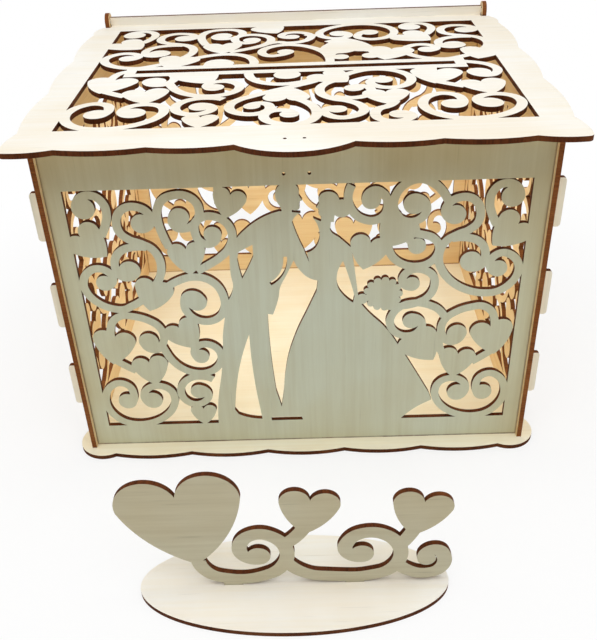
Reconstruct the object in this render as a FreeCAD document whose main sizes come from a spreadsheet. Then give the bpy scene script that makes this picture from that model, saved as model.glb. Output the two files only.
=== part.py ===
"""Wedding card box of laser-cut 3 mm plywood, with a hinged lid and a small standing sign.

Millimetres. The origin is the centre of the box's underside, +Z is up and the front faces -Y.
Every plate is a flat profile pushed out by the ply's thickness, and plates join by tabs in slots.
"""

import FreeCAD, Part
import math
import os
import Sketcher

from FreeCAD import Placement, Rotation, Vector

doc = FreeCAD.newDocument("card_box")
sheet = doc.addObject("Spreadsheet::Sheet", "Sizes")

# Driving dimensions: alias, value, meaning
SIZES = [
    ("ply", 3.0, "thickness of every plate"),
    ("fit_gap", 0.12, "room on each side of a tab in its slot"),
    ("box_width", 286.0, "across the outer faces of the side panels"),
    ("box_depth", 233.0, "front face of the front panel to rear face of the back panel"),
    ("wall_height", 214.2, "height of the four walls above the base"),
    ("side_proud", 3.4, "how far the side panels stand past the front and back faces"),
    ("stile_width", 10.0, "plain upright border of the front and back panels"),
    ("low_rail", 15.9, "plain border under the fretwork"),
    ("top_rail", 29.8, "plain border above the fretwork"),
    ("side_stile", 14.0, "plain upright border of the side panels"),
    ("band_width", 4.9, "width of the scroll bands in the walls"),
    ("least_gap", 1.8, "openings between the ornaments smaller than a square of this stay closed"),
    ("tab_length", 30.0, "length of the tabs between plates"),
    ("tab_pitch", 59.0, "height from one wall tab to the next"),
    ("tab_first", 51.0, "middle of the lowest wall tab above the base"),
    ("tab_reach", 5.0, "how far the wall tabs stand out of the side panels"),
    ("tab_round", 2.0, "rounding of the outer corners of the wall tabs"),
    ("front_tab_x", 66.5, "middle of the front and back panels' floor tabs"),
    ("side_tab_y", 62.0, "middle of the side panels' floor tabs"),
    ("floor_tab_short", 0.2, "how far floor tabs stay inside the base's underside"),
    ("base_margin", 5.5, "base past the side panels, at the cusps"),
    ("base_front_margin", 6.0, "base past the ends of the side panels, at the cusps"),
    ("base_lobe", 3.0, "bulge of the base's scallops"),
    ("base_lobe_pitch", 50.5, "length of a scallop of the base"),
    ("lid_margin", 4.5, "lid past the side panels, at the cusps"),
    ("lid_front", 22.6, "lid past the front panel, at the cusps"),
    ("lid_corner", 25.0, "length of the lid's front corner lobes"),
    ("lid_tip", 4.0, "rounding of the lid's front corners"),
    ("lid_front_lobe", 47.0, "length of the scallop beside each corner lobe"),
    ("lid_centre_span", 61.4, "length of the lid's middle scallop"),
    ("lid_rear_lobe", 28.8, "length of the lid's rear corner lobes"),
    ("lid_gap", 0.2, "room under the closed lid"),
    ("lid_lobe", 3.0, "bulge of the lid's scallops"),
    ("lid_centre_lobe", 12.0, "bulge of the lid's middle scallop"),
    ("lid_side_border", 18.1, "plain border at the lid's sides, to the cusps"),
    ("lid_front_border", 26.6, "plain border at the lid's front, to the cusps"),
    ("lid_rear_border", 20.5, "plain border at the lid's rear edge"),
    ("lid_band", 5.9, "width of the scroll bands in the lid"),
    ("slot_length", 202.0, "card slot in the lid"),
    ("slot_width", 6.5, "card slot in the lid"),
    ("slot_border", 6.8, "solid bars along the card slot"),
    ("slot_place", 102.0, "middle of the card slot behind the fretwork's front edge"),
    ("hinge_inset", 4.7, "hinge axis ahead of the back panel's rear face"),
    ("hinge_rise", 3.0, "hinge axis above the lid's top face"),
    ("bar_height", 6.0, "hinge bar above the lid"),
    ("bar_end_gap", 0.4, "room between the hinge bar and the side panels"),
    ("pin_height", 3.0, "height of the square pins at the hinge bar's ends"),
    ("pin_gap", 0.15, "room around the pins' corners in the ears"),
    ("bar_tab_length", 24.0, "tabs that hold the hinge bar in the lid"),
    ("bar_tab_x", 92.0, "middle of the outer hinge bar tabs"),
    ("ear_radius", 6.0, "round ears of the side panels that carry the pins"),
    ("ear_gap", 1.2, "room around the ears in the lid"),
    ("latch_hole", 2.0, "diameter of the catch's screw holes"),
    ("lid_latch_pitch", 10.0, "between the screw holes in the lid"),
    ("lid_latch_place", 16.3, "screw holes in the lid ahead of the front panel's face"),
    ("front_latch_pitch", 14.0, "between the screw holes in the front panel"),
    ("front_latch_place", 23.2, "screw holes in the front panel below its top edge"),
    ("sign_width", 170.0, "oval foot of the sign"),
    ("sign_depth", 66.0, "oval foot of the sign"),
    ("sign_x", -7.6, "middle of the sign to the right of the box's middle"),
    ("sign_ahead", 117.0, "middle of the sign ahead of the front panel's face"),
    ("sign_height", 82.0, "upright ornament above the sign's foot"),
    ("sign_band", 8.0, "width of the ornament's scroll bands"),
    ("sign_tab_x", 33.4, "middle of the ornament's tabs"),
    ("sign_tab_length", 10.2, "ornament's tabs"),
]

for row, (alias, value, meaning) in enumerate(SIZES, start=1):
    sheet.set(f"A{row}", meaning)
    sheet.set(f"B{row}", str(value))
    sheet.setAlias(f"B{row}", alias)
doc.recompute()


def size(alias):
    return float(sheet.get(alias))


PLY = size("ply")
FIT = size("fit_gap")
HALF_WIDTH = size("box_width") / 2
HALF_DEPTH = size("box_depth") / 2
INNER_HALF = HALF_WIDTH - PLY
WALL_TOP = PLY + size("wall_height")
LID_BOTTOM = WALL_TOP + size("lid_gap")
HINGE_Y = HALF_DEPTH - size("hinge_inset")
HINGE_Z = LID_BOTTOM + PLY + size("hinge_rise")
TAB_HALF = size("tab_length") / 2
TAB_HEIGHTS = [size("tab_first") + i * size("tab_pitch") for i in range(3)]

# The ornament. Walls: one half of it fills a field 95 wide and 170.3 high, x from the outer edge and
# y from the lower edge. A scroll is (ball, centre-line points, ball), and a ball is (x, y, radius).
# A heart is (x, y, size, lean in degrees).
ART_HEIGHT = 170.3
HALF_ART = 95.0
FRONT_ART = 263.0

HOOK = ((10.5, 159.5, 6.6), [(12, 167.2), (18.5, 166.6), (22.6, 161.5), (23.2, 155), (21.3, 148.5),
                             (18, 142)], None)
UPPER_CURL = ((42, 149, 6), [(48, 151), (45.5, 157), (40.5, 159.6), (34.5, 159.4), (29.6, 155.5),
                             (27.8, 149.5), (29, 143.5), (33.5, 139.2), (40, 136.4), (46, 132.6),
                             (49.3, 126.5), (49.8, 119.5), (47.8, 112.5), (43, 106)], None)
MIDDLE_CURL = ((31, 118.5, 6.4), [(25.5, 114.8), (22.8, 121), (24, 127.6), (28.6, 132.4), (35, 134.2),
                                  (43, 133.8)], None)
OUTER_CURL = ((15, 110.5, 5.2), [(20.3, 114), (16.5, 119.4), (10.8, 120.5), (5, 117), (2.2, 110.5),
                                 (3.6, 103.5), (8.6, 97), (16, 92.8), (24, 91.8), (29.5, 94.2),
                                 (36, 98)], None)
LOWER_CURL = ((35.5, 67.5, 6.2), [(40, 61.2), (44.4, 66.2), (45.4, 72.5), (43, 78.6), (36.6, 83.6),
                                  (28.6, 86.4), (21.3, 87), (15.4, 83), (13, 76.5), (12.6, 70)], None)
RAM_HORNS = ((15.5, 20.5, 6), [(20.3, 26.3), (18, 33), (12, 35.6), (6, 32.6), (2, 25.4), (1.6, 17),
                               (5.2, 8.6), (12, 2.8), (20.5, 0.8), (29.5, 2), (38.4, 6.6), (44.6, 14),
                               (46.6, 22), (44.6, 28.6), (39, 32.2), (32, 31.6), (27.3, 26.8)],
             (32, 20.7, 6.4))
OUTER_SCROLLS = [HOOK, UPPER_CURL, MIDDLE_CURL, OUTER_CURL, LOWER_CURL, RAM_HORNS]
OUTER_BARS = [[(11, 55), (18, 49.5), (24.5, 45)]]
OUTER_HEARTS = [(10.8, 137, 23, 45), (42.5, 101, 22, -17), (13.2, 63.5, 25, -10), (34.5, 44.8, 22, 8)]
INNER_SCROLLS = [
    ((67, 55, 5.2), [(64.5, 62), (70.5, 64.4), (76, 62.4), (79.5, 57.3), (79.4, 51.3), (76, 45.6),
                     (69.6, 42.2), (61.6, 42.4), (54, 46.2), (48.4, 52.6), (45, 60), (42.6, 67)], None),
    ((68.3, 95.5, 6.2), [(63.2, 100.5), (60.6, 94), (62.6, 87), (68, 82.3), (75, 81.3), (81.6, 84.6),
                         (85, 92), (84.6, 100), (81, 107.4), (74.6, 112), (66.6, 113), (58.6, 110.6),
                         (51.5, 106.5)], None),
    ((64, 152.4, 5.8), [(61.5, 146.2), (67.4, 145.4), (73, 148.6), (75.7, 154.4), (74.6, 161),
                        (69.6, 165.4), (62, 166), (55.6, 163.4), (52, 157), (51.8, 149), (53.6, 140.5),
                        (56.2, 133)], None),
    ((82, 140.7, 5.2), [(79.6, 134.7), (74.3, 136.8), (72, 142.5), (73, 149), (77.6, 152.2),
                        (86, 151.4), (91.6, 146.4), (93.2, 138.5), (90.6, 131.4), (85, 125.6),
                        (77.6, 120.8), (70.6, 117)], None),
    ((63, 27, 5.5), [(69, 24), (66, 18.5), (59.5, 16.6), (53.6, 20), (51.2, 27), (53.6, 34), (59, 38.2),
                     (66, 39), (73, 36.5)], None),
]
INNER_HEARTS = [(59, 71.5, 22, 30), (66, 125.5, 21, 4), (64.5, 7.5, 16, 0)]

# Back panel: how far its two double halves overlap. Upright rows of hearts are (y, size).
BACK_OVERLAP = 45.0
BACK_CENTRE_HEARTS = [(103, 24), (22, 36)]
BACK_COLUMN_HEARTS = [(92, 24), (55, 30), (17, 34)]
SIDE_CENTRE_HEARTS = [(92, 26), (54, 34), (161.5, 20), (17, 34)]

# Scrolls beside the bride, on the front panel's whole field
BRIDE_SIDE_SCROLLS = [
    ((173, 159.5, 5.5), [(174.5, 165.5), (180, 163), (182.3, 157), (180.5, 150), (175, 146.8),
                         (168, 148), (162.5, 153), (160, 160.5), (162, 169)], None),
    ((197.5, 156.5, 6.4), [(204.5, 153.5), (202, 147.8), (196, 145.3), (189.5, 147.5), (185.8, 154),
                           (186.6, 162), (191.5, 168.5), (199.5, 171.5), (208.5, 168), (214, 162),
                           (217, 156)], None),
    ((221, 149, 6), [(215, 151), (217.5, 157), (222.5, 159.6), (228.5, 159.4), (233.4, 155.5),
                     (235.2, 149.5), (234, 143.5), (229.5, 139.2), (223, 136.4), (217, 132.6),
                     (213.7, 126.5), (213.2, 119.5), (216, 112), (221.5, 105), (229.5, 99.5),
                     (239.5, 96.5), (249, 97), (256, 101.5), (260.3, 108.5), (260.5, 115), (256, 121.5),
                     (249.5, 123.5), (243.4, 117)], (248.5, 113, 5.5)),
    (None, [(195.5, 138), (202.5, 137), (209, 134.6), (212.8, 129.5), (211.5, 122), (206.5, 117.5),
            (199.5, 116), (191.5, 118), (185.5, 123.5), (183, 131)], None),
    ((198, 104, 4.8), [(192.3, 106), (193.8, 111), (198, 113.7), (204.5, 113.5), (210.5, 109),
                       (211.5, 101.5), (208.5, 95), (201.5, 90.5), (192.5, 88.5), (184, 88.5)], None),
    ((199, 77.5, 5.5), [(205.5, 75), (203.5, 69.5), (196.5, 66.5), (189, 69.5), (185.7, 76.5),
                        (187.5, 83.5), (192.5, 88.5), (200.5, 90.5), (208.5, 89), (215.5, 85),
                        (219, 80)], None),
]
BRIDE_SIDE_BARS = [[(217.5, 69), (216.8, 60), (221, 50)], [(200, 129.5), (196, 133), (193, 138)]]
BRIDE_SIDE_BALLS = [(200, 129.5, 5.2)]
BRIDE_SIDE_HEARTS = [(187, 139.5, 23, -35), (171.5, 126, 22, -14), (206.5, 58, 25, 35)]
GROOM_SIDE_BARS = [[(87.5, 172), (87.2, 160)]]
GROOM_SIDE_HEARTS = [(92.5, 160, 18, -16)]

# The couple, as runs of points that are smooth within a run and meet at corners
COUPLE = [
    [(121, 154.5), (111.5, 151), (102.5, 145), (94.5, 136.5)],
    [(90.7, 127), (90.3, 116), (90.9, 104)],
    [(87.5, 96), (84.7, 85)],
    [(82, 70), (80.9, 56), (78.5, 39), (75, 20)],
    [(73.5, -2)],
    [(193.5, -2), (201.5, 6.5)],
    [(214.5, 15)],
    [(212.5, 21), (203.5, 38), (193, 57), (183.5, 72.5), (171.5, 86)],
    [(166.5, 93), (164.9, 106), (162.9, 122)],
    [(161.5, 130), (155.5, 136), (150, 141)],
    [(149, 145)],
    [(140, 149.5), (143.3, 142), (142.8, 134), (140.5, 130)],
    [(136, 127.3)],
    [(137.1, 120.5)],
    [(134, 130), (130.5, 139)],
    [(128, 147.5), (130, 151)],
    [(133, 153)],
]
COUPLE_OPENINGS = [
    [[(96, 129)], [(104.5, 133.5)], [(104.5, 126), (100.5, 117.5)], [(97, 111), (95.8, 117)], [(95, 124)]],
    [[(128, 122.5), (131.5, 115.5), (136.5, 110.3)], [(142, 108.2)],
     [(141, 101), (135.5, 88.5), (128, 71.5), (122.5, 54.5), (119.5, 38), (118, 24)], [(116.2, 12.5)],
     [(113.2, 26), (111.5, 49)], [(110.7, 85.5)], [(114, 85), (117.7, 96), (119.5, 105), (123, 112)]],
    [[(98.5, 71), (91.5, 49), (87, 26)], [(85.2, 11)], [(87.5, 7), (95.5, 3.7)], [(103, 2.6)],
     [(101, 20), (99.1, 44)]],
    [[(157, 121), (153.5, 113), (153.8, 103.5), (158, 96.5)], [(163, 92)], [(163.8, 96.5), (161, 108)]],
    [[(109, 1)], [(130, 1)], [(129, 3.8)], [(109, 3.8)]],
]
FOREARM_LINE = [(123, 125), (122.3, 118), (119, 111.5), (113.5, 106.8)]
FOREARM_GAP = 2.2
# A head in profile, facing right: one high, from its middle
HEAD = [
    [(-0.20, -0.72), (-0.24, -0.40), (-0.38, -0.10), (-0.40, 0.18), (-0.24, 0.43), (0.04, 0.50), (0.27, 0.40),
     (0.35, 0.22)],
    [(0.34, 0.06)],
    [(0.45, -0.12)],
    [(0.35, -0.17)],
    [(0.37, -0.24)],
    [(0.34, -0.29), (0.36, -0.38), (0.28, -0.46)],
    [(0.10, -0.42), (0.07, -0.52)],
    [(0.10, -0.72)],
]
GROOM_HEAD = (126.3, 162.9, 17.5, 1)
BRIDE_HEAD = (148.8, 157.8, 15.5, -1)
BUN = (156.3, 155.0, 5.6)
NECKS = [[(125.5, 158), (125, 149)], [(147.8, 154), (147, 143)]]
NECK_WIDTH = 5.6
BOUQUET = (181, 97.5, 9.6)
PETALS = 13
PETAL_RADIUS = 2.3
HAND = (168.5, 94.5, 3.6)

# The lid: the same half ornament at its left and right, and these scrolls between, on a field of its own
LID_ART_WIDTH = 261.4
LID_ART_DEPTH = 207.5
LID_REPEAT = 201.0
LID_SIDE_LOBES = 3
TIP_BULGE = 0.3
LID_SCROLLS = [
    ((106.2, 31, 5), [(112.6, 35.3), (116.7, 28), (114.2, 21), (107.2, 17.5), (99.7, 19.5), (94.2, 26),
                      (93.7, 34.5), (98.2, 42.5), (106.2, 49), (116.7, 56.5), (128.7, 64), (140.7, 72),
                      (148.7, 80)], None),
    ((127.7, 16, 5.5), [(123.5, 23), (117.7, 22), (113.7, 15.5), (115.2, 7.5), (121.7, 1.5),
                        (130.2, -0.5), (137.7, 3), (142.2, 11), (142.7, 21), (139.2, 32),
                        (132.2, 41)], None),
    ((154.2, 22, 5.8), [(147.2, 20.5), (149.2, 12.5), (155.7, 8), (163.7, 10.5), (169, 18),
                        (167.7, 27.5), (161.2, 35), (153.2, 39.5), (147.2, 46.5), (145.2, 56),
                        (147.7, 65.5), (154.7, 73)], None),
    ((165.7, 58, 6), [(172.8, 60.5), (175.7, 54), (174.2, 46), (168.2, 41), (160.2, 40.5),
                      (152.7, 44)], None),
    ((183.7, 72.5, 6.5), [(176.2, 69), (179.2, 60.5), (186.7, 56.8), (194.7, 59), (200.2, 66.5),
                          (201.2, 76.5), (196.7, 86), (187.7, 92.5), (176.7, 93.5), (166.7, 88.5),
                          (159.7, 81.5)], None),
    ((188.2, 11, 6), [(194.5, 8), (191.2, 2.5), (184.2, 0), (177.2, 3.5), (174.7, 11.5), (177.2, 20),
                      (183.7, 25), (187.7, 33)], None),
    (None, [(101.7, 96), (103.2, 84), (110.2, 74), (121.2, 69.5), (133.7, 72), (142.7, 78)], None),
    ((124.2, 139.5, 5.8), [(120.7, 132), (114.2, 130.5), (108.9, 136), (108.7, 145), (114.7, 153),
                           (124.7, 156.5), (135.2, 153.5), (143.7, 146), (149.7, 136.5), (152.7, 126),
                           (153.2, 112)], None),
    ((128.2, 177, 5.5), [(121, 179), (122.7, 186), (129.2, 189), (137.2, 186.5), (141.7, 179.5),
                         (140.7, 170.5), (134.7, 163.5), (125.7, 161.5), (117.7, 164),
                         (111, 160)], None),
    ((162.2, 182, 7), [(168.6, 175.5), (163.7, 170), (156.2, 170), (149.7, 175.5), (148, 184.5),
                       (152.2, 194), (161.2, 202), (173.7, 206.5), (186.7, 205), (197.2, 197.5),
                       (201.7, 186), (199.7, 174.5), (191.7, 166), (181.7, 164.5), (175.2, 170),
                       (176, 178.5)], (183.7, 183, 6.8)),
    ((160.7, 123.5, 5.5), [(154.6, 127), (157, 133.5), (163.7, 135), (170.2, 140)], None),
    ((180.7, 124.5, 6), [(187.3, 128), (185.2, 135), (178.2, 137.5), (171.7, 142)], None),
]
LID_BARS = [[(125.7, 88), (125.7, 110)], [(152.7, 160), (160, 166)], [(146, 178), (138, 182)],
            [(112, 208), (112.5, 198)]]
LID_BALLS = [(125.7, 88, 8.5)]
LID_HEARTS = [(125.7, 51, 26, 180), (153.7, 80, 26, 40), (183.7, 41, 26, 0), (112.2, 199, 24, 25),
              (165.7, 152, 34, 180), (193, 129, 30, -15)]

# The sign's upright ornament: hearts on running scrolls, on a field 170 wide and 82 high, x from its middle
SIGN_ART = (170.0, 82.0)
SIGN_SCROLLS = [
    ((-18.5, 22.5, 6.5), [(-27, 24), (-27.5, 33), (-19, 39.5), (-8.5, 36), (-3, 25), (-7, 13), (-19, 6),
                          (-34, 5.2), (-46, 10), (-51, 20)], None),
    ((37, 22.5, 6.5), [(28.5, 25), (31, 34.5), (41, 39), (52.5, 34.5), (58, 22), (52.5, 10), (40, 5.2),
                       (22, 5.2), (7, 8), (-4, 18)], None),
    ((72, 17.5, 5), [(76.5, 24.5), (81.5, 18), (79, 9), (70, 6), (61, 9.5), (55, 16)], None),
]
SIGN_BARS = [[(56.5, 28), (62, 36), (66, 46)], [(-5, 31), (2, 37), (8, 47)]]
SIGN_HEARTS = [(-56, 49.5, 62, 8), (67, 51.5, 30, -12), (9, 54.5, 30, -8)]


def flat(point):
    return Vector(point[0], point[1], 0)


def arc_edge(start, middle, end):
    """A circular edge through three points, or a straight one where they are in line."""
    turn = (middle[0] - start[0]) * (end[1] - start[1]) - (middle[1] - start[1]) * (end[0] - start[0])
    if abs(turn) < 1e-6:
        return Part.LineSegment(flat(start), flat(end)).toShape()
    return Part.Arc(flat(start), flat(middle), flat(end)).toShape()


def filled(arcs):
    """The flat face inside a closed run of arcs (start, middle, end), always drawn anticlockwise."""
    corners = [point for arc in arcs for point in arc[:2]]
    area = sum(a[0] * b[1] - a[1] * b[0] for a, b in zip(corners, corners[1:] + corners[:1]))
    if area < 0:
        arcs = [arc[::-1] for arc in reversed(arcs)]
    return Part.Face(Part.Wire([arc_edge(*arc) for arc in arcs]))


def rectangle(x0, y0, x1, y1):
    x0, x1 = sorted((x0, x1))
    corners = [(x0, y0), (x1, y0), (x1, y1), (x0, y1), (x0, y0)]
    return Part.Face(Part.makePolygon([flat(corner) for corner in corners]))


def disc(x, y, radius):
    return Part.Face(Part.Wire(Part.makeCircle(radius, Vector(x, y, 0))))


def circle_centre(a, b, c):
    """Centre of the circle through three points, or None where they are in line."""
    twice = 2 * (a[0] * (b[1] - c[1]) + b[0] * (c[1] - a[1]) + c[0] * (a[1] - b[1]))
    if abs(twice) < 1e-9:
        return None
    squares = [p[0] ** 2 + p[1] ** 2 for p in (a, b, c)]
    x = (squares[0] * (b[1] - c[1]) + squares[1] * (c[1] - a[1]) + squares[2] * (a[1] - b[1])) / twice
    y = (squares[0] * (c[0] - b[0]) + squares[1] * (a[0] - c[0]) + squares[2] * (b[0] - a[0])) / twice
    return x, y


def tangents(points):
    """Direction of travel at each point, from the circle through it and its neighbours."""
    last = len(points) - 1
    directions = []
    for i, point in enumerate(points):
        first = min(max(i - 1, 0), last - 2)
        a, b, c = points[first:first + 3]
        centre = circle_centre(a, b, c)
        if centre is None:
            dx, dy = c[0] - a[0], c[1] - a[1]
        else:
            dx, dy = centre[1] - point[1], point[0] - centre[0]
            if dx * (c[0] - a[0]) + dy * (c[1] - a[1]) < 0 and i in (first, first + 1, first + 2):
                turn = (b[0] - a[0]) * (c[1] - b[1]) - (b[1] - a[1]) * (c[0] - b[0])
                dx, dy = (dx, dy) if turn > 0 else (-dx, -dy)
            elif (b[0] - a[0]) * (c[1] - b[1]) - (b[1] - a[1]) * (c[0] - b[0]) < 0:
                dx, dy = -dx, -dy
        length = math.hypot(dx, dy)
        directions.append((dx / length, dy / length))
    return directions


def tangent_arcs(points):
    """Arcs that join the points smoothly, two to a span, each as (start, direction, end)."""
    if len(points) == 2:
        dx, dy = points[1][0] - points[0][0], points[1][1] - points[0][1]
        length = math.hypot(dx, dy)
        return [(points[0], (dx / length, dy / length), points[1])]
    directions = tangents(points)
    arcs = []
    for i in range(len(points) - 1):
        p, q = points[i], points[i + 1]
        s, t = directions[i], directions[i + 1]
        dx, dy = q[0] - p[0], q[1] - p[1]
        chord = dx * dx + dy * dy
        along = dx * (s[0] + t[0]) + dy * (s[1] + t[1])
        spread = 2 * (1 - s[0] * t[0] - s[1] * t[1])
        if spread > 1e-9:
            reach = (math.sqrt(along * along + spread * chord) - along) / spread
        else:
            reach = chord / (2 * along)
        joint = ((p[0] + q[0] + reach * (s[0] - t[0])) / 2, (p[1] + q[1] + reach * (s[1] - t[1])) / 2)
        mx, my = joint[0] - p[0] - reach * s[0], joint[1] - p[1] - reach * s[1]
        length = math.hypot(mx, my)
        arcs.append((p, s, joint))
        arcs.append((joint, (mx / length, my / length), q))
    return arcs


def along_arc(arc, share):
    """Point and direction at a share of the way along an arc."""
    start, direction, end = arc
    cx, cy = end[0] - start[0], end[1] - start[1]
    side = -direction[1] * cx + direction[0] * cy
    ahead = direction[0] * cx + direction[1] * cy
    turn = 2 * math.atan2(side, ahead) * share
    heading = (direction[0] * math.cos(turn) - direction[1] * math.sin(turn),
               direction[0] * math.sin(turn) + direction[1] * math.cos(turn))
    bend = 2 * side / (cx * cx + cy * cy)
    if abs(bend) < 1e-9:
        return (start[0] + cx * share, start[1] + cy * share), heading
    x = start[0] + (heading[1] - direction[1]) / bend
    y = start[1] - (heading[0] - direction[0]) / bend
    return (x, y), heading


def band(points, width):
    """A flat band of even width along a smooth line."""
    arcs = tangent_arcs(points)

    def beside(arc, share, offset):
        (x, y), (dx, dy) = along_arc(arc, share)
        return x - dy * offset, y + dx * offset

    half = width / 2
    first, last = arcs[0], arcs[-1]
    outline = [[beside(arc, share, half) for share in (0, 0.5, 1)] for arc in arcs]
    outline.append([beside(last, 1, offset) for offset in (half, 0, -half)])
    outline += [[beside(arc, share, -half) for share in (1, 0.5, 0)] for arc in reversed(arcs)]
    outline.append([beside(first, 0, offset) for offset in (-half, 0, half)])
    return filled(outline)


def curl_start(ball, points, width):
    """The point inside a ball from which a scroll winds out of it."""
    x, y, radius = ball
    near, after, beyond = points[:3]
    turn = (after[0] - near[0]) * (beyond[1] - after[1]) - (after[1] - near[1]) * (beyond[0] - after[0])
    side = 1 if turn > 0 else -1
    dx, dy = near[0] - x, near[1] - y
    reach = max(radius - width / 2, 0.3 * radius) / math.hypot(dx, dy)
    return x + dy * side * reach, y - dx * side * reach


HEART_ARCS = [((0, 0.30), (-0.27, 0.50), (-0.53, 0.20)), ((-0.53, 0.20), (-0.34, -0.20), (0, -0.52)),
              ((0, -0.52), (0.34, -0.20), (0.53, 0.20)), ((0.53, 0.20), (0.27, 0.50), (0, 0.30))]


def heart(x, y, across, lean):
    """Arcs of a heart about a middle point, leaning anticlockwise."""
    cos, sin = math.cos(math.radians(lean)), math.sin(math.radians(lean))

    def place(point):
        return x + across * (point[0] * cos - point[1] * sin), y + across * (point[0] * sin + point[1] * cos)

    return [[place(point) for point in arc] for arc in HEART_ARCS]


def figure(runs):
    """A closed shape from runs of points: smooth within a run, with a corner at each run's start."""
    outline = []
    for i, run in enumerate(runs):
        points = run + [runs[(i + 1) % len(runs)][0]]
        outline += [[along_arc(arc, share)[0] for share in (0, 0.5, 1)] for arc in tangent_arcs(points)]
    return filled(outline)


def head(x, y, height, facing):
    return [[(x + facing * height * px, y + height * py) for px, py in run] for run in HEAD]


class Field:
    """Places drawn points in a window, stretched to its width and height, mirrored on request."""

    def __init__(self, window, art_width, art_height, shift=0.0, mirror=False, spread=None):
        x0, y0, x1, y1 = window
        self.stretch_y = (y1 - y0) / art_height
        self.stretch_x = spread if spread else (x1 - x0) / art_width
        self.scale = min(self.stretch_x, self.stretch_y)
        self.sign = -1 if mirror else 1
        self.left = (x1 if mirror else x0) + self.sign * shift
        self.low = y0

    def at(self, point):
        return self.left + self.sign * point[0] * self.stretch_x, self.low + point[1] * self.stretch_y

    def ball(self, ball):
        return (*self.at(ball), ball[2] * self.scale)

    def scrolls(self, scrolls, width):
        faces = []
        for start, points, end in scrolls:
            line = [self.at(point) for point in points]
            if start:
                line = [curl_start(self.ball(start), line, width)] + line
                faces.append(disc(*self.ball(start)))
            if end:
                line = line + [curl_start(self.ball(end), line[::-1], width)]
                faces.append(disc(*self.ball(end)))
            faces.append(band(line, width))
        return faces

    def bars(self, bars, width):
        return [band([self.at(point) for point in bar], width) for bar in bars]

    def balls(self, balls):
        return [disc(*self.ball(ball)) for ball in balls]

    def hearts(self, hearts):
        return [filled([[self.at(point) for point in arc] for arc in heart(*size)]) for size in hearts]

    def figure(self, runs):
        return figure([[self.at(point) for point in run] for run in runs])


def join(faces):
    return Part.makeShell(faces[0].multiFuse(faces[1:]).Faces).removeSplitter()


def fretted(outline, window, ornament, openings):
    """A plate whose window keeps only the ornament, with further openings cut through."""
    gaps = [gap for gap in rectangle(*window).cut(ornament).Faces if gap.Area > size("least_gap") ** 2]
    return outline.cut(gaps + openings)


def scalloped(cusps):
    """A closed outline of arcs from cusp to cusp: each cusp is (x, y, bulge of the arc that follows)."""
    outline = []
    for i, (x, y, bulge) in enumerate(cusps):
        nx, ny, _ = cusps[(i + 1) % len(cusps)]
        length = math.hypot(nx - x, ny - y)
        middle = ((x + nx) / 2 + (ny - y) / length * bulge, (y + ny) / 2 - (nx - x) / length * bulge)
        outline.append([(x, y), middle, (nx, ny)])
    return filled(outline)


def plate(label, profile, rotation, place):
    """A sub-part: a flat profile pushed out by the ply's thickness and set in its place."""
    faces = profile.Faces
    if len(faces) != 1:
        raise RuntimeError(f"{label}: profile is {len(faces)} separate pieces")
    drawing = doc.addObject("Part::Feature", label + "_profile")
    drawing.Shape = faces[0]
    part = doc.addObject("Part::Extrusion", label)
    part.Label = label
    part.Base = drawing
    part.DirMode = "Custom"
    part.Dir = Vector(0, 0, 1)
    part.Solid = True
    part.setExpression("LengthFwd", "Sizes.ply")
    part.Placement = Placement(Vector(0, 0, 0), rotation)
    for axis, formula in zip("xyz", place):
        part.setExpression("Placement.Base." + axis, formula)
    return part


LYING = Rotation()
FACING_FRONT = Rotation(Vector(1, 0, 0), 90)
FACING_SIDE = Rotation(Vector(1, 1, 1), 120)


def wall_tab(x_root, x_end, y):
    """A wall tab with rounded outer corners, from inside the plate to its free end."""
    radius = size("tab_round")
    inward = radius if x_root < x_end else -radius
    y0, y1 = y - TAB_HALF, y + TAB_HALF
    corners = [disc(x_end - inward, y0 + radius, radius), disc(x_end - inward, y1 - radius, radius)]
    arms = [rectangle(x_root, y0, x_end - inward, y1), rectangle(x_root, y0 + radius, x_end, y1 - radius)]
    return arms + corners


def floor_tab(middle, length):
    return rectangle(middle - length / 2, size("floor_tab_short") - PLY, middle + length / 2, PLY)


def end_wall(ornament, openings):
    """Profile of the front or back panel with its wall tabs and floor tabs; y from the base's top."""
    faces = [rectangle(-INNER_HALF, 0, INNER_HALF, size("wall_height"))]
    for y in TAB_HEIGHTS:
        for side in (-1, 1):
            faces += wall_tab(side * (INNER_HALF - PLY), side * (HALF_WIDTH + size("tab_reach")), y)
    faces += [floor_tab(side * size("front_tab_x"), size("tab_length")) for side in (-1, 1)]
    return fretted(join(faces), end_window(), ornament, openings)


def end_window():
    half = INNER_HALF - size("stile_width")
    return -half, size("low_rail"), half, size("wall_height") - size("top_rail")


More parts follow.
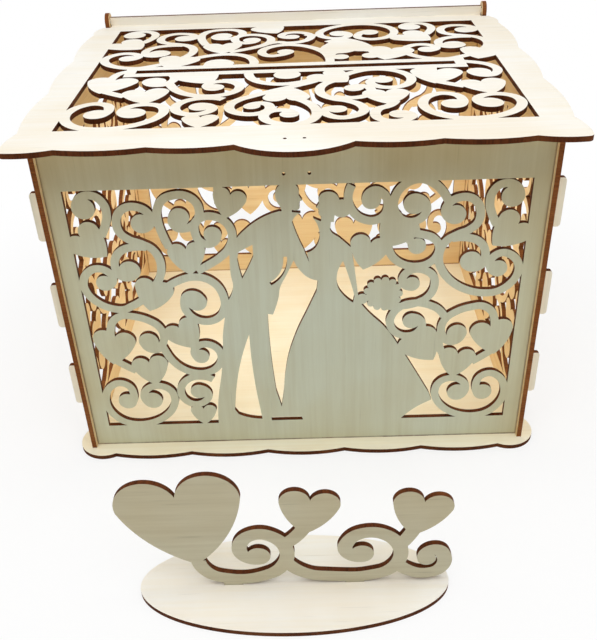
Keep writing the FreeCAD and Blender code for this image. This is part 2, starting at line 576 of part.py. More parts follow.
def front_panel():
    window = end_window()
    width = size("band_width")
    whole = Field(window, FRONT_ART, ART_HEIGHT)
    mirrored = Field(window, FRONT_ART, ART_HEIGHT, mirror=True)
    faces = whole.scrolls(OUTER_SCROLLS + INNER_SCROLLS, width)
    faces += whole.bars(OUTER_BARS + GROOM_SIDE_BARS, width)
    faces += whole.hearts(OUTER_HEARTS + INNER_HEARTS + GROOM_SIDE_HEARTS)
    faces += mirrored.scrolls([HOOK, MIDDLE_CURL, LOWER_CURL, RAM_HORNS], width)
    faces += mirrored.bars(OUTER_BARS, width)
    faces += mirrored.hearts([OUTER_HEARTS[0], OUTER_HEARTS[2], OUTER_HEARTS[3]])
    faces += whole.scrolls(BRIDE_SIDE_SCROLLS, width) + whole.bars(BRIDE_SIDE_BARS, width)
    faces += whole.balls(BRIDE_SIDE_BALLS + [BUN, BOUQUET, HAND]) + whole.hearts(BRIDE_SIDE_HEARTS)
    faces += whole.bars(NECKS, NECK_WIDTH * whole.scale)
    faces += [whole.figure(runs) for runs in (COUPLE, head(*GROOM_HEAD), head(*BRIDE_HEAD))]
    for i in range(PETALS):
        angle = 2 * math.pi * i / PETALS
        x, y, radius = whole.ball(BOUQUET)
        petal = PETAL_RADIUS * whole.scale
        faces.append(disc(x + radius * math.cos(angle), y + radius * math.sin(angle), petal))
    openings = [whole.figure(runs) for runs in COUPLE_OPENINGS]
    openings += whole.bars([FOREARM_LINE], FOREARM_GAP)
    latch_y = size("wall_height") - size("front_latch_place")
    latch_x = size("front_latch_pitch") / 2
    openings += [disc(side * latch_x, latch_y, size("latch_hole") / 2) for side in (-1, 1)]
    place = ("0", "-Sizes.box_depth / 2 + Sizes.ply", "Sizes.ply")
    return plate("front_panel", end_wall(faces, openings), FACING_FRONT, place)


def back_panel():
    window = end_window()
    width = size("band_width")
    centre = 2 * HALF_ART - BACK_OVERLAP
    faces = []
    for mirror in (False, True):
        half = Field(window, 2 * centre, ART_HEIGHT, mirror=mirror)
        folded = Field(window, 2 * centre, ART_HEIGHT, mirror=mirror)
        folded.left += folded.sign * 2 * HALF_ART * folded.stretch_x
        folded.sign = -folded.sign
        faces += half.scrolls(OUTER_SCROLLS + INNER_SCROLLS, width) + half.bars(OUTER_BARS, width)
        faces += half.hearts(OUTER_HEARTS + INNER_HEARTS)
        faces += folded.scrolls(INNER_SCROLLS, width) + folded.hearts(INNER_HEARTS)
    faces += half.hearts([(centre, y, across, 0) for y, across in BACK_CENTRE_HEARTS])
    for x in (HALF_ART, 2 * centre - HALF_ART):
        faces += half.hearts([(x, y, across, 0) for y, across in BACK_COLUMN_HEARTS])
    place = ("0", "Sizes.box_depth / 2", "Sizes.ply")
    return plate("back_panel", end_wall(faces, []), FACING_FRONT, place)


def side_profile():
    """Profile of a side panel, with x along the box's depth from its middle and y from the base's top."""
    half_length = HALF_DEPTH + size("side_proud")
    half_window = half_length - size("side_stile")
    window = (-half_window, size("low_rail"), half_window, size("wall_height") - size("top_rail"))
    width = size("band_width")
    ornament = []
    for mirror in (False, True):
        half = Field(window, 2 * HALF_ART, ART_HEIGHT, mirror=mirror)
        ornament += half.scrolls(OUTER_SCROLLS + INNER_SCROLLS, width) + half.bars(OUTER_BARS, width)
        ornament += half.hearts(OUTER_HEARTS + INNER_HEARTS)
    ornament += half.hearts([(HALF_ART, y, across, 0) for y, across in SIDE_CENTRE_HEARTS])
    faces = [rectangle(-half_length, 0, half_length, size("wall_height"))]
    faces += [floor_tab(side * size("side_tab_y"), size("tab_length")) for side in (-1, 1)]
    ear_y = HINGE_Z - PLY
    radius = size("ear_radius")
    faces.append(disc(HINGE_Y, ear_y, radius))
    faces.append(rectangle(HINGE_Y - radius, size("wall_height") - radius, HINGE_Y + radius, ear_y))
    pin_corner = math.hypot(PLY, size("pin_height")) / 2
    openings = [disc(HINGE_Y, ear_y, pin_corner + size("pin_gap"))]
    for middle in TAB_HEIGHTS:
        for face in (-HALF_DEPTH, HALF_DEPTH - PLY):
            low, high = middle - TAB_HALF - FIT, middle + TAB_HALF + FIT
            openings.append(rectangle(face - FIT, low, face + PLY + FIT, high))
    return fretted(join(faces), window, ornament, openings)


def side_panels():
    profile = side_profile()
    left_face, right_face = "-Sizes.box_width / 2", "Sizes.box_width / 2 - Sizes.ply"
    return [plate("left_side_panel", profile, FACING_SIDE, (left_face, "0", "Sizes.ply")),
            plate("right_side_panel", profile, FACING_SIDE, (right_face, "0", "Sizes.ply"))]


BASE_CORNER = 0.4


def base_plate():
    half_x = HALF_WIDTH + size("base_margin")
    half_y = HALF_DEPTH + size("side_proud") + size("base_front_margin")
    bulge, pitch = size("base_lobe"), size("base_lobe_pitch")

    def side_cusps(half_length):
        """Cusps of one side, evenly spaced about its middle, that leave a corner lobe at each end."""
        lobes = int((half_length - pitch / 4) * 2 / pitch)
        return [(i - lobes / 2) * pitch for i in range(lobes + 1)]

    xs, ys = side_cusps(half_x), side_cusps(half_y)
    runs = [[(x, -half_y) for x in xs], [(half_x, y) for y in ys],
            [(x, half_y) for x in reversed(xs)], [(-half_x, y) for y in reversed(ys)]]
    corner = BASE_CORNER * math.hypot(half_x - xs[-1], half_y - ys[-1])
    cusps = []
    for run in runs:
        cusps += [(x, y, bulge) for x, y in run[:-1]] + [(*run[-1], corner)]
    slots = []
    half_slot = TAB_HALF + FIT
    for side in (-1, 1):
        x = side * size("front_tab_x")
        for face in (-HALF_DEPTH, HALF_DEPTH - PLY):
            slots.append(rectangle(x - half_slot, face - FIT, x + half_slot, face + PLY + FIT))
        y = side * size("side_tab_y")
        for face in (-HALF_WIDTH, INNER_HALF):
            slots.append(rectangle(face - FIT, y - half_slot, face + PLY + FIT, y + half_slot))
    return plate("base_plate", scalloped(cusps).cut(slots), LYING, ("0", "0", "0"))


def lid_panel():
    half_x = HALF_WIDTH + size("lid_margin")
    front, rear = -HALF_DEPTH - size("lid_front"), HINGE_Y + PLY / 2
    bulge, tip, gap = size("lid_lobe"), size("lid_tip"), size("ear_gap")
    corner_x, corner_y = half_x - size("lid_corner"), front + size("lid_corner")
    side_step = (rear - size("lid_rear_lobe") - corner_y) / LID_SIDE_LOBES
    centre_x = size("lid_centre_span") / 2
    right = [(centre_x, front, bulge), (corner_x - size("lid_front_lobe"), front, bulge),
             (corner_x, front, bulge / 2), (half_x + bulge - tip, front - bulge, TIP_BULGE * tip),
             (half_x + bulge, front - bulge + tip, bulge / 2)]
    right += [(half_x, corner_y + i * side_step, bulge) for i in range(LID_SIDE_LOBES + 1)]
    right += [(HALF_WIDTH, HINGE_Y - size("ear_radius"), 0), (INNER_HALF, rear, 0)]
    left = [(-x, y, before) for (x, y, _), (_, _, before) in zip(right[:0:-1], right[-2::-1])]
    cusps = right + left + [(-centre_x, front, size("lid_centre_lobe"))]
    border = size("lid_side_border")
    window = (-half_x + border, front + size("lid_front_border"),
              half_x - border, rear - size("lid_rear_border"))
    width = size("lid_band")
    faces = []
    middle = Field(window, LID_ART_WIDTH, LID_ART_DEPTH)
    spread = (window[2] - window[0]) / LID_ART_WIDTH * LID_ART_DEPTH / ART_HEIGHT
    left = Field(window, FRONT_ART, ART_HEIGHT, spread=spread)
    shift = LID_REPEAT / LID_ART_WIDTH * (window[2] - window[0])
    right = Field(window, FRONT_ART, ART_HEIGHT, shift=shift, spread=spread)
    faces += left.scrolls(OUTER_SCROLLS + INNER_SCROLLS, width) + left.bars(OUTER_BARS, width)
    faces += left.hearts(OUTER_HEARTS + INNER_HEARTS)
    faces += right.scrolls(OUTER_SCROLLS, width) + right.bars(OUTER_BARS, width) + right.hearts(OUTER_HEARTS)
    faces += middle.scrolls(LID_SCROLLS, width) + middle.bars(LID_BARS, width) + middle.balls(LID_BALLS)
    faces += middle.hearts(LID_HEARTS)
    slot_y = window[1] + size("slot_place")
    half_slot, half_gap = size("slot_length") / 2, size("slot_width") / 2
    rim = size("slot_border")
    rim_y = half_gap + rim
    faces.append(rectangle(-half_slot - rim, slot_y - rim_y, half_slot + rim, slot_y + rim_y))
    openings = [rectangle(-half_slot, slot_y - half_gap, half_slot, slot_y + half_gap)]
    for x in (-size("bar_tab_x"), 0, size("bar_tab_x")):
        half_tab = size("bar_tab_length") / 2 + FIT
        openings.append(rectangle(x - half_tab, HINGE_Y - PLY / 2 - FIT, x + half_tab, rear + PLY))
    for side in (-1, 1):
        near, far = sorted((side * (INNER_HALF - gap), side * (HALF_WIDTH + gap)))
        openings.append(rectangle(near, HINGE_Y - size("ear_radius") - gap, far, rear + PLY))
        latch_y = -HALF_DEPTH - size("lid_latch_place")
        openings.append(disc(side * size("lid_latch_pitch") / 2, latch_y, size("latch_hole") / 2))
    place = ("0", "0", "Sizes.ply + Sizes.wall_height + Sizes.lid_gap")
    return plate("lid_panel", fretted(scalloped(cusps), window, faces, openings), LYING, place)


def bound_outline(body, points):
    """A closed sketch on the body's XZ plane whose corners are held by formulas of the sheet."""
    sketch = body.newObject("Sketcher::SketchObject", body.Name + "_outline")
    plane = [feature for feature in body.Origin.OriginFeatures if feature.Role == "XZ_Plane"][0]
    sketch.AttachmentSupport = [(plane, "")]
    sketch.MapMode = "FlatFace"
    count = len(points)
    for i in range(count):
        start, end = Vector(i, i * i + 1, 0), Vector(i + 1, (i + 1) ** 2 + 1, 0)
        sketch.addGeometry(Part.LineSegment(start, end), False)
    for i in range(count):
        sketch.addConstraint(Sketcher.Constraint("Coincident", i, 2, (i + 1) % count, 1))
    for i, formulas in enumerate(points):
        for kind, formula in zip(("DistanceX", "DistanceY"), formulas):
            index = sketch.addConstraint(Sketcher.Constraint(kind, -1, 1, i, 1, float(i + 1)))
            sketch.setExpression(f"Constraints[{index}]", formula)
    return sketch


def hinge_bar():
    """A bar on edge across the lid's rear, with a square pin at each end and tabs down into the lid."""
    body = doc.addObject("PartDesign::Body", "hinge_bar")
    body.Label = "hinge_bar"
    end = "(Sizes.box_width / 2 - Sizes.ply - Sizes.bar_end_gap)"
    pin_end = "(Sizes.box_width / 2)"
    pin_low = "(Sizes.hinge_rise - Sizes.pin_height / 2)"
    pin_high = "(Sizes.hinge_rise + Sizes.pin_height / 2)"
    half_tab = "Sizes.bar_tab_length / 2"
    right = []
    for middle in ("0", "Sizes.bar_tab_x"):
        tab = [(f"{middle} - {half_tab}", "0"), (f"{middle} - {half_tab}", "-Sizes.ply"),
               (f"{middle} + {half_tab}", "-Sizes.ply"), (f"{middle} + {half_tab}", "0")]
        right += tab
    right = right[2:]
    right += [(end, "0"), (end, pin_low), (pin_end, pin_low), (pin_end, pin_high), (end, pin_high),
              (end, "Sizes.bar_height")]
    left = [(f"-({x})", z) for x, z in reversed(right)]
    sketch = bound_outline(body, right + left)
    pad = body.newObject("PartDesign::Pad", "hinge_bar_pad")
    pad.Profile = sketch
    pad.Midplane = True
    pad.setExpression("Length", "Sizes.ply")
    body.setExpression("Placement.Base.y", "Sizes.box_depth / 2 - Sizes.hinge_inset")
    body.setExpression("Placement.Base.z", "2 * Sizes.ply + Sizes.wall_height + Sizes.lid_gap")
    return body


def sign_base():
    """The sign's oval foot with two slots for the upright ornament."""
    ellipse = Part.Ellipse(Vector(0, 0, 0), size("sign_width") / 2, size("sign_depth") / 2)
    oval = Part.Face(Part.Wire(ellipse.toShape()))
    slots = []
    half_x, half_y = size("sign_tab_length") / 2 + FIT, PLY / 2 + FIT
    for side in (-1, 1):
        x = side * size("sign_tab_x")
        slots.append(rectangle(x - half_x, -half_y, x + half_x, half_y))
    place = ("Sizes.sign_x", "-Sizes.box_depth / 2 - Sizes.sign_ahead", "0")
    return plate("sign_base", oval.cut(slots), LYING, place)


def sign_ornament():
    art_width, art_height = SIGN_ART
    half_width = size("sign_width") / 2
    field = Field((0, 0, half_width, size("sign_height")), art_width / 2, art_height)
    width = size("sign_band")
    faces = field.scrolls(SIGN_SCROLLS, width) + field.bars(SIGN_BARS, width) + field.hearts(SIGN_HEARTS)
    half_tab = size("sign_tab_length") / 2
    for side in (-1, 1):
        x = side * size("sign_tab_x")
        faces.append(rectangle(x - half_tab, size("floor_tab_short") - PLY, x + half_tab, width / 2))
    place = ("Sizes.sign_x", "-Sizes.box_depth / 2 - Sizes.sign_ahead + Sizes.ply / 2", "Sizes.ply")
    return plate("sign_ornament", join(faces), FACING_FRONT, place)


parts = [
    base_plate(),
    front_panel(),
    back_panel(),
    *side_panels(),
    lid_panel(),
    hinge_bar(),
    sign_base(),
    sign_ornament(),
]
doc.recompute()

for item in doc.Objects:
    if "Invalid" in item.State or "Error" in item.State:
        raise RuntimeError(f"{item.Label} failed: {item.State}")
for part in parts:
    shape = part.Shape
    if shape.isNull() or not shape.isValid() or len(shape.Solids) != 1:
        raise RuntimeError(f"{part.Label} has no single valid solid")

os.makedirs("parts", exist_ok=True)
for part in parts:
    part.Shape.exportStep(os.path.join("parts", part.Label + ".step"))
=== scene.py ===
"""Looks of the wedding card box: bare laser-cut plywood with browned cut edges, on a white studio table.

Metres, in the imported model's frame. Every plate keeps its CAD shape and gets a plywood material of its own.
"""

import math

import bpy
from mathutils import Matrix, Vector


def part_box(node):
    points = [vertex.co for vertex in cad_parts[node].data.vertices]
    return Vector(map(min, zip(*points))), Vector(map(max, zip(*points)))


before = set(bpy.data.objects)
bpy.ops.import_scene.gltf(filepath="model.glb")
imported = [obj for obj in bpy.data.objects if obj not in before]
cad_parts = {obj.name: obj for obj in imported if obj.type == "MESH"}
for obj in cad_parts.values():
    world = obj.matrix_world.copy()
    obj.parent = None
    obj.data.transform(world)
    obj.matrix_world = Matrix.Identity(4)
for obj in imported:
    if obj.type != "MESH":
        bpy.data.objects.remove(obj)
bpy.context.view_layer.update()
scene = bpy.context.scene

X, Y, Z = 0, 1, 2


def linear(red, green, blue):
    """A screen colour of 0 to 255 as the shader's linear colour."""
    return tuple((c / 255 / 12.92) if c / 255 <= 0.04045 else ((c / 255 + 0.055) / 1.055) ** 2.4
                 for c in (red, green, blue))


# Woods, from the pale ground to the dark of the grain
WHITE_WOOD = linear(252, 251, 246), linear(248, 242, 226)
CREAM = linear(253, 249, 228), linear(247, 237, 207)
WARM = linear(248, 224, 180), linear(234, 198, 144)
# Painted shade: the pale wood of the front panel and the sign, greyed as it looks in shade
FRONT_SHADE_GREY = linear(217, 222, 202), linear(202, 202, 177)
SIGN_SHADE_GREY = linear(208, 202, 176), linear(190, 181, 152)
# Painted light: the paler tab ends that stand out past the side walls
LIT_TAB_ENDS = linear(250, 242, 222)

# Tints that multiply a wood's colour
TAN_CAST = linear(240, 220, 184)
# Painted shade on the front panel: warmer and darker toward its border, darker toward its top
BORDER_SHADE = linear(250, 241, 224)
TOP_SHADE = linear(230, 216, 200)
PORE_SHADE = 0.6

# Cut edges: the brown of the cut, its char and its palest tan
DARK_CUT = linear(96, 48, 19), linear(48, 22, 8), linear(148, 92, 48)
LIGHT_CUT = linear(142, 84, 42), linear(86, 46, 20), linear(184, 128, 76)

# Layers of noise that are drawn out along one axis:
# scale across that axis and along it, detail, roughness, distortion
BANDS = 90.0, 4.0, 4.0, 0.6, 0.6
RINGS = 420.0, 12.0, 5.0, 0.62, 0.25
FIBRES = 1500.0, 60.0, 2.0, 0.5, 0.0
PORES = 900.0, 28.0, 2.0, 0.5, 0.0
CUT_STREAKS = 900.0, 50.0, 3.0, 0.6, 0.0

# Layers of even noise: scale, detail, roughness
PATCHES = 13.0, 3.0, 0.5
SCORCH = 60.0, 2.0, 0.55

# Noise level from which a layer shows and at which it shows in full, and its share of the colour there
GRAIN_LEVELS, GRAIN_SHARE = (0.36, 0.66), 0.75
PATCH_LEVELS, PATCH_SHARE = (0.35, 0.7), 0.3
FIBRE_LEVELS, FIBRE_SHARE = (0.3, 0.75), 0.16
PORE_LEVELS, PORE_SHARE = (0.66, 0.78), 0.4
CHAR_LEVELS, CHAR_SHARE = (0.3, 0.8), 0.8
SCORCH_LEVELS, SCORCH_SHARE = (0.45, 0.75), 0.25
BAND_WEIGHT, RING_WEIGHT = 0.55, 0.45

# Painted shade on the front panel, by the way out from the panel's centre, which is 1 at its border
BORDER_SHADE_FROM_TO, BORDER_SHADE_SHARE = (0.45, 1.0), 0.9
TOP_SHADE_FROM_TO, TOP_SHADE_SHARE = (-0.1, 1.05), 0.85
SHADE_UNEVEN = 0.35

# Painted shadow lines at the joints, in metres: before and past the side wall's inner face, and above the
# floor
JOINT_SHADOW_FADE_IN, JOINT_SHADOW_FULL, JOINT_SHADOW_FADE_OUT = 0.0013, 0.0001, 0.0003
FOOT_SHADOW_FULL, FOOT_SHADOW_FADE = 0.0002, 0.0014
JOINT_SHADOW_LEVELS, JOINT_SHADOW_SHARES = (0.25, 0.7), (0.45, 0.9)
# Painted light on the tab ends: where they fade in past the side wall's outer face, and the share of grain
# there
LIT_TAB_FADE = -0.0002, 0.0004
LIT_TAB_GRAIN = 0.5

# Sheet and surface
LAYER_THICKNESS = 0.001
GLUE_WIDTH, GLUE_SHARE = 0.4, 0.35
EDGE_FACING = 0.45, 0.8
WEAR_LEVELS, ROUGHNESS, EDGE_ROUGHNESS = (0.3, 0.7), (0.5, 0.7), 0.25
FIBRE_RELIEF, RING_RELIEF, RELIEF_STRENGTH, RELIEF_DEPTH = 0.6, 0.4, 0.35, 0.0002
SHEEN = 0.15
SEED_SHIFT = 1.0, 0.7, 0.4


class Nodes:
    """Short calls for building the node tree of a material or the world."""

    def __init__(self, owner):
        owner.use_nodes = True
        self.tree = owner.node_tree
        self.tree.nodes.clear()

    def add(self, kind, inputs=None, **settings):
        node = self.tree.nodes.new(kind)
        for key, value in settings.items():
            setattr(node, key, value)
        for key, value in (inputs or {}).items():
            self.set(node.inputs[key], value)
        return node

    def set(self, socket, value):
        if isinstance(value, bpy.types.NodeSocket):
            self.tree.links.new(value, socket)
        else:
            socket.default_value = value

    def math(self, operation, a, b=0.0):
        return self.add("ShaderNodeMath", {0: a, 1: b}, operation=operation).outputs[0]

    def plus(self, a, b):
        return self.math("ADD", a, b)

    def minus(self, a, b):
        return self.math("SUBTRACT", a, b)

    def times(self, a, b):
        return self.math("MULTIPLY", a, b)

    def spread(self, value, low, high, out_low=0.0, out_high=1.0):
        """A smooth step: out_low up to low, and out_high from high on."""
        inputs = dict(enumerate((value, low, high, out_low, out_high)))
        return self.add("ShaderNodeMapRange", inputs, interpolation_type="SMOOTHSTEP").outputs[0]

    def part(self, vector, axis):
        return self.add("ShaderNodeSeparateXYZ", {0: vector}).outputs[axis]

    def noise(self, vector, scale, detail, roughness=0.55, distortion=0.0):
        inputs = {"Vector": vector, "Scale": scale, "Detail": detail, "Roughness": roughness,
                  "Distortion": distortion}
        return self.add("ShaderNodeTexNoise", inputs).outputs["Fac"]

    def mix(self, factor, a, b, blend="MIX"):
        node = self.add("ShaderNodeMix", {"Factor": factor}, data_type="RGBA", blend_type=blend)
        for socket, value in zip((node.inputs[6], node.inputs[7]), (a, b)):
            self.set(socket, value if isinstance(value, bpy.types.NodeSocket) else (*value, 1.0))
        return node.outputs[2]

    def tint(self, factor, colour, cast):
        return self.mix(factor, colour, self.mix(1.0, colour, cast, "MULTIPLY"))


class Ply(Nodes):
    """Plywood for one plate: across is the axis through the sheet, along is the axis of its grain."""

    def __init__(self, node, across, along, seed):
        self.material = bpy.data.materials.new(node + "_ply")
        super().__init__(self.material)
        self.low, self.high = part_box(node)
        self.across = across
        coords = self.add("ShaderNodeTexCoord").outputs
        self.spot, self.normal = coords["Object"], coords["Normal"]
        offset = [seed * share for share in SEED_SHIFT]
        self.place = self.add("ShaderNodeVectorMath", {0: self.spot, 1: offset}).outputs[0]
        self.bands = self.drawn_out(BANDS, along)
        self.rings = self.drawn_out(RINGS, along)
        self.fibres = self.drawn_out(FIBRES, along)
        self.pores = self.drawn_out(PORES, along)
        self.patches = self.noise(self.place, *PATCHES)
        grain = self.plus(self.times(self.bands, BAND_WEIGHT), self.times(self.rings, RING_WEIGHT))
        self.tone = self.spread(grain, *GRAIN_LEVELS)

    def drawn_out(self, layer, axis):
        scale_across, scale_along, *texture = layer
        scale = [scale_across] * 3
        scale[axis] = scale_along
        stretched = self.add("ShaderNodeMapping", {"Vector": self.place, "Scale": scale}).outputs[0]
        return self.noise(stretched, 1.0, *texture)

    def face(self, pale, dark, streak):
        """The sheet's face: grain, tan patches, fibres and dark pores."""
        face = self.mix(self.times(self.tone, GRAIN_SHARE * streak), pale, dark)
        face = self.tint(self.times(self.spread(self.patches, *PATCH_LEVELS), PATCH_SHARE), face, TAN_CAST)
        fibres = self.times(self.spread(self.fibres, *FIBRE_LEVELS), FIBRE_SHARE * streak)
        face = self.mix(fibres, face, dark)
        pores = self.times(self.spread(self.pores, *PORE_LEVELS), PORE_SHARE * streak)
        return self.mix(pores, face, tuple(PORE_SHADE * c for c in dark))

    def paint_front_shade(self, face):
        """Painted shade: the face warmer and darker along the border, and darker still toward the top."""
        centre, reach = (self.low + self.high) / 2, (self.high - self.low) / 2
        from_middle = self.math("ABSOLUTE", self.minus(self.part(self.spot, X), centre.x))
        sideways = self.math("DIVIDE", from_middle, reach.x)
        upward = self.math("DIVIDE", self.minus(self.part(self.spot, Z), centre.z), reach.z)
        uneven = self.times(self.minus(self.patches, 0.5), SHADE_UNEVEN)
        outward = self.plus(self.math("MAXIMUM", sideways, upward), uneven)
        face = self.tint(self.times(self.spread(outward, *BORDER_SHADE_FROM_TO), BORDER_SHADE_SHARE), face, BORDER_SHADE)
        top_shade = self.spread(self.plus(upward, uneven), *TOP_SHADE_FROM_TO)
        return self.tint(self.times(top_shade, TOP_SHADE_SHARE), face, TOP_SHADE)

    def joints(self, face, brown, lit_tab_ends, dark):
        """Painted shadow lines at the joints with the side walls and the floor, and painted light on the
        paler ends of the wall tabs.
        """
        wall_low, wall_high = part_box("right_side_panel")
        inner, outer, floor_top = wall_low.x, wall_high.x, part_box("base_plate")[1].z
        sideways = self.math("ABSOLUTE", self.part(self.spot, X))
        # painted shadow line on the face along the joint with the side wall
        joint_shadow = self.times(self.spread(sideways, inner - JOINT_SHADOW_FADE_IN, inner - JOINT_SHADOW_FULL),
                          self.spread(sideways, inner, inner + JOINT_SHADOW_FADE_OUT, 1.0, 0.0))
        height = self.part(self.spot, Z)
        # painted shadow line along the foot, just above the floor
        foot_shadow = self.spread(height, floor_top + FOOT_SHADOW_FULL, floor_top + FOOT_SHADOW_FADE, 1.0, 0.0)
        uneven = self.spread(self.bands, *JOINT_SHADOW_LEVELS, *JOINT_SHADOW_SHARES)
        face = self.mix(self.times(self.math("MAXIMUM", joint_shadow, foot_shadow), uneven), face, brown)
        # painted light: the tab ends paler past the side wall's outer face
        lit_tab = self.spread(sideways, *(outer + fade for fade in LIT_TAB_FADE))
        return self.mix(lit_tab, face, self.mix(self.times(self.tone, LIT_TAB_GRAIN), lit_tab_ends, dark))

    def cut(self, brown, char, tan):
        """Cut edges: browned by the cut, darker at the glue lines and in streaks across the sheet."""
        streaks = self.drawn_out(CUT_STREAKS, self.across)
        depth = self.minus(self.part(self.spot, self.across), self.low[self.across])
        wave = self.math("ABSOLUTE", self.math("SINE", self.times(depth, math.pi / LAYER_THICKNESS)))
        glue = self.spread(wave, 0.0, GLUE_WIDTH, 1.0, 0.0)
        burnt = self.mix(self.spread(streaks, *CHAR_LEVELS, 0.0, CHAR_SHARE), brown, char)
        scorch = self.spread(self.noise(self.place, *SCORCH), *SCORCH_LEVELS)
        burnt = self.mix(self.times(scorch, SCORCH_SHARE), burnt, tan)
        return self.mix(self.times(glue, GLUE_SHARE), burnt, char)

    def shade(self, face, burnt):
        """The face's colour where the surface lies in the sheet, the cut's where it stands across it."""
        facing = self.math("ABSOLUTE", self.part(self.normal, self.across))
        edge = self.spread(facing, *EDGE_FACING, 1.0, 0.0)
        wear = self.plus(self.times(self.fibres, 0.5), self.times(self.patches, 0.5))
        rough = self.plus(self.spread(wear, *WEAR_LEVELS, *ROUGHNESS), self.times(edge, EDGE_ROUGHNESS))
        relief = self.plus(self.times(self.fibres, FIBRE_RELIEF), self.times(self.rings, RING_RELIEF))
        bump = self.add("ShaderNodeBump", {"Strength": RELIEF_STRENGTH, "Distance": RELIEF_DEPTH,
                                           "Height": relief})
        shader = self.add("ShaderNodeBsdfPrincipled", {
            "Base Color": self.mix(edge, face, burnt), "Roughness": rough,
            "Normal": bump.outputs[0], "Specular IOR Level": SHEEN})
        self.add("ShaderNodeOutputMaterial", {0: shader.outputs[0]})


def finish_node(node, wood, across, along, streak, seed, lit_tab_ends=None, shaded_front=False, singe=DARK_CUT):
    """Gives a plate its plywood: streak is how strongly the grain shows, and seed sets its sheet apart."""
    ply = Ply(node, across, along, seed)
    face = ply.face(*wood, streak)
    # Painted shade on the front panel, darker toward its border and its top
    if shaded_front:
        face = ply.paint_front_shade(face)
    # painted shadow lines at the joints and painted light on the tab ends
    if lit_tab_ends:
        face = ply.joints(face, singe[0], lit_tab_ends, wood[1])
    ply.shade(face, ply.cut(*singe))
    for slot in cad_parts[node].material_slots:
        slot.material = ply.material


finish_node("base_plate", CREAM, Z, X, streak=0.8, seed=0.0)
# Front panel: painted shade in its grey wood, its darker border and top and its joint lines; painted light on
# its tab ends
finish_node("front_panel", FRONT_SHADE_GREY, Y, Z, streak=0.65, seed=1.3, lit_tab_ends=LIT_TAB_ENDS, shaded_front=True)
# Back panel: painted shadow lines at its joints and painted light on its tab ends
finish_node("back_panel", WARM, Y, X, streak=1.0, seed=2.1, lit_tab_ends=LIT_TAB_ENDS, singe=LIGHT_CUT)
finish_node("left_side_panel", WARM, X, Y, streak=1.0, seed=3.7, singe=LIGHT_CUT)
finish_node("right_side_panel", WARM, X, Y, streak=1.0, seed=4.9, singe=LIGHT_CUT)
finish_node("lid_panel", WHITE_WOOD, Z, X, streak=0.9, seed=5.3)
finish_node("hinge_bar", WHITE_WOOD, Y, X, streak=0.8, seed=6.1)
finish_node("sign_base", WHITE_WOOD, Z, X, streak=0.8, seed=7.7)
# Painted shade: the sign's grey wood
finish_node("sign_ornament", SIGN_SHADE_GREY, Y, X, streak=0.8, seed=8.3)


# Floor: two whites of the table, and how it runs into the background with the distance from the box
TABLE_LIGHT, TABLE_DULL = (0.96, 0.96, 0.955), (0.93, 0.93, 0.925)
MOTTLE_SCALE, MOTTLE_SHARE = 3.0, 0.3
TABLE_ROUGHNESS, TABLE_SHEEN = 0.8, 0.1
FADE_DISTANCES, FADE_SHARES = (0.15, 0.42), (0.72, 1.0)
FLOOR_HALF, FLOOR_DROP = 4.0, 0.0004

# World: the white that is seen and the fill that lights the object
SEEN_WHITE = (1, 1, 1, 1)
FILL_COLOUR, FILL_STRENGTH = (1.0, 0.99, 0.975, 1), 0.29

# Lamps: name, place, target, width, height, power in watts, colour
NEUTRAL = (1, 1, 1)
FILL_LAMP = (0, 0, 0.1), 1.4, 1.0, 6.0, NEUTRAL
LAMPS = [
    ("overhead", (0.0, -0.6, 1.35), (0, -0.6, 0), 1.8, 1.3, 15.3, (1.0, 0.995, 0.985)),
    ("inside_fill", (0.0, 0.0, 0.185), (0, 0, 0), 0.24, 0.18, 0.20, NEUTRAL),
    ("left_fill", (-1.8, 0.5, 0.9), *FILL_LAMP),
    ("right_fill", (1.8, 0.5, 0.9), *FILL_LAMP),
    ("back_fill", (0, 2.0, 0.9), *FILL_LAMP),
]

# The camera stands where the photograph was taken: place in metres, angles in degrees, the rest in pixels
CAMERA_PLACE = (0.00654, -0.53491, 0.37462)
PITCH_DOWN, YAW, ROLL = 33.40, 0.77, -2.03
IMAGE_WIDTH, IMAGE_HEIGHT = 597, 640
FOCAL_LENGTH = 825.40
PRINCIPAL_X, PRINCIPAL_Y = 303.30, 319.66
SENSOR_HEIGHT_MM = 32.0
CLIP_START = 0.01


def seen_directly(n):
    """One for the rays that show the surroundings: straight, mirrored or through something clear."""
    path = n.add("ShaderNodeLightPath").outputs
    mirrored = n.math("MAXIMUM", path["Is Glossy Ray"], path["Is Transmission Ray"])
    return n.math("MAXIMUM", path["Is Camera Ray"], mirrored)


def make_floor():
    """White table that takes the shadow near the object and runs into the white background."""
    material = bpy.data.materials.new("table_white")
    n = Nodes(material)
    spot = n.add("ShaderNodeTexCoord").outputs["Object"]
    mottle = n.noise(spot, MOTTLE_SCALE, 2.0)
    colour = n.mix(n.times(mottle, MOTTLE_SHARE), TABLE_LIGHT, TABLE_DULL)
    table = n.add("ShaderNodeBsdfPrincipled", {
        "Base Color": colour, "Roughness": TABLE_ROUGHNESS, "Specular IOR Level": TABLE_SHEEN})
    distance = n.add("ShaderNodeVectorMath", {0: spot}, operation="LENGTH").outputs["Value"]
    far = n.times(n.spread(distance, *FADE_DISTANCES, *FADE_SHARES), seen_directly(n))
    white = n.add("ShaderNodeEmission", {"Color": SEEN_WHITE, "Strength": 1.0})
    choose = n.add("ShaderNodeMixShader", {0: far, 1: table.outputs[0], 2: white.outputs[0]})
    n.add("ShaderNodeOutputMaterial", {0: choose.outputs[0]})

    mesh = bpy.data.meshes.new("studio_floor")
    corners = [(x * FLOOR_HALF, y * FLOOR_HALF, 0) for x, y in ((-1, -1), (1, -1), (1, 1), (-1, 1))]
    mesh.from_pydata(corners, [], [(0, 1, 2, 3)])
    mesh.materials.append(material)
    floor = bpy.data.objects.new("studio_floor", mesh)
    floor.location.z = -FLOOR_DROP
    scene.collection.objects.link(floor)


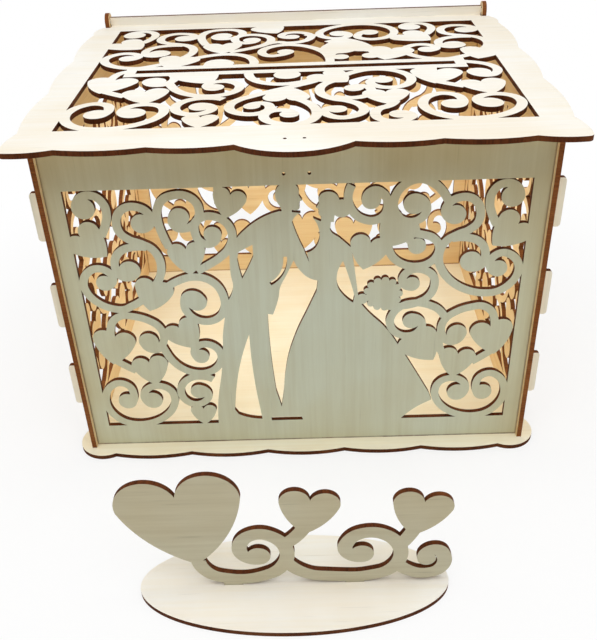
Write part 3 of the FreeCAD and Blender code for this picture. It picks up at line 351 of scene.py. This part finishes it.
def make_world():
    """White where it is seen, and an even soft fill for everything else."""
    scene.world = bpy.data.worlds.new("studio")
    n = Nodes(scene.world)
    fill = n.add("ShaderNodeBackground", {"Color": FILL_COLOUR, "Strength": FILL_STRENGTH})
    white = n.add("ShaderNodeBackground", {"Color": SEEN_WHITE, "Strength": 1.0})
    choose = n.add("ShaderNodeMixShader", {0: seen_directly(n), 1: fill.outputs[0], 2: white.outputs[0]})
    n.add("ShaderNodeOutputWorld", {0: choose.outputs[0]})


def make_lamp(name, place, target, width, height, power, colour):
    data = bpy.data.lights.new(name, "AREA")
    data.shape = "RECTANGLE"
    data.size, data.size_y = width, height
    data.energy = power
    data.color = colour
    lamp = bpy.data.objects.new(name, data)
    lamp.location = place
    lamp.visible_camera = False
    lamp.rotation_euler = (Vector(target) - Vector(place)).to_track_quat("-Z", "Y").to_euler()
    scene.collection.objects.link(lamp)


def make_camera():
    """A camera with the photograph's place, direction, focal length and frame."""
    pitch, yaw, roll = (math.radians(angle) for angle in (PITCH_DOWN, YAW, ROLL))
    level = Matrix(((1, 0, 0),
                    (0, -math.sin(pitch), -math.cos(pitch)),
                    (0, math.cos(pitch), -math.sin(pitch))))
    turn = Matrix(((math.cos(yaw), math.sin(yaw), 0), (-math.sin(yaw), math.cos(yaw), 0), (0, 0, 1)))
    tilt = Matrix(((math.cos(roll), -math.sin(roll), 0), (math.sin(roll), math.cos(roll), 0), (0, 0, 1)))
    right, down, ahead = tilt @ level @ turn

    data = bpy.data.cameras.new("photo_camera")
    data.sensor_fit = "VERTICAL"
    data.sensor_height = SENSOR_HEIGHT_MM
    data.lens = FOCAL_LENGTH / IMAGE_HEIGHT * SENSOR_HEIGHT_MM
    data.shift_x = (IMAGE_WIDTH / 2 - PRINCIPAL_X) / IMAGE_HEIGHT
    data.shift_y = (PRINCIPAL_Y - IMAGE_HEIGHT / 2) / IMAGE_HEIGHT
    data.clip_start = CLIP_START
    camera = bpy.data.objects.new("photo_camera", data)
    axes = Matrix((right, -down, -ahead)).transposed()
    camera.matrix_world = Matrix.Translation(CAMERA_PLACE) @ axes.to_4x4()
    scene.collection.objects.link(camera)
    scene.camera = camera


make_floor()
make_world()
for lamp_values in LAMPS:
    make_lamp(*lamp_values)
make_camera()
scene.view_settings.view_transform = "Standard"
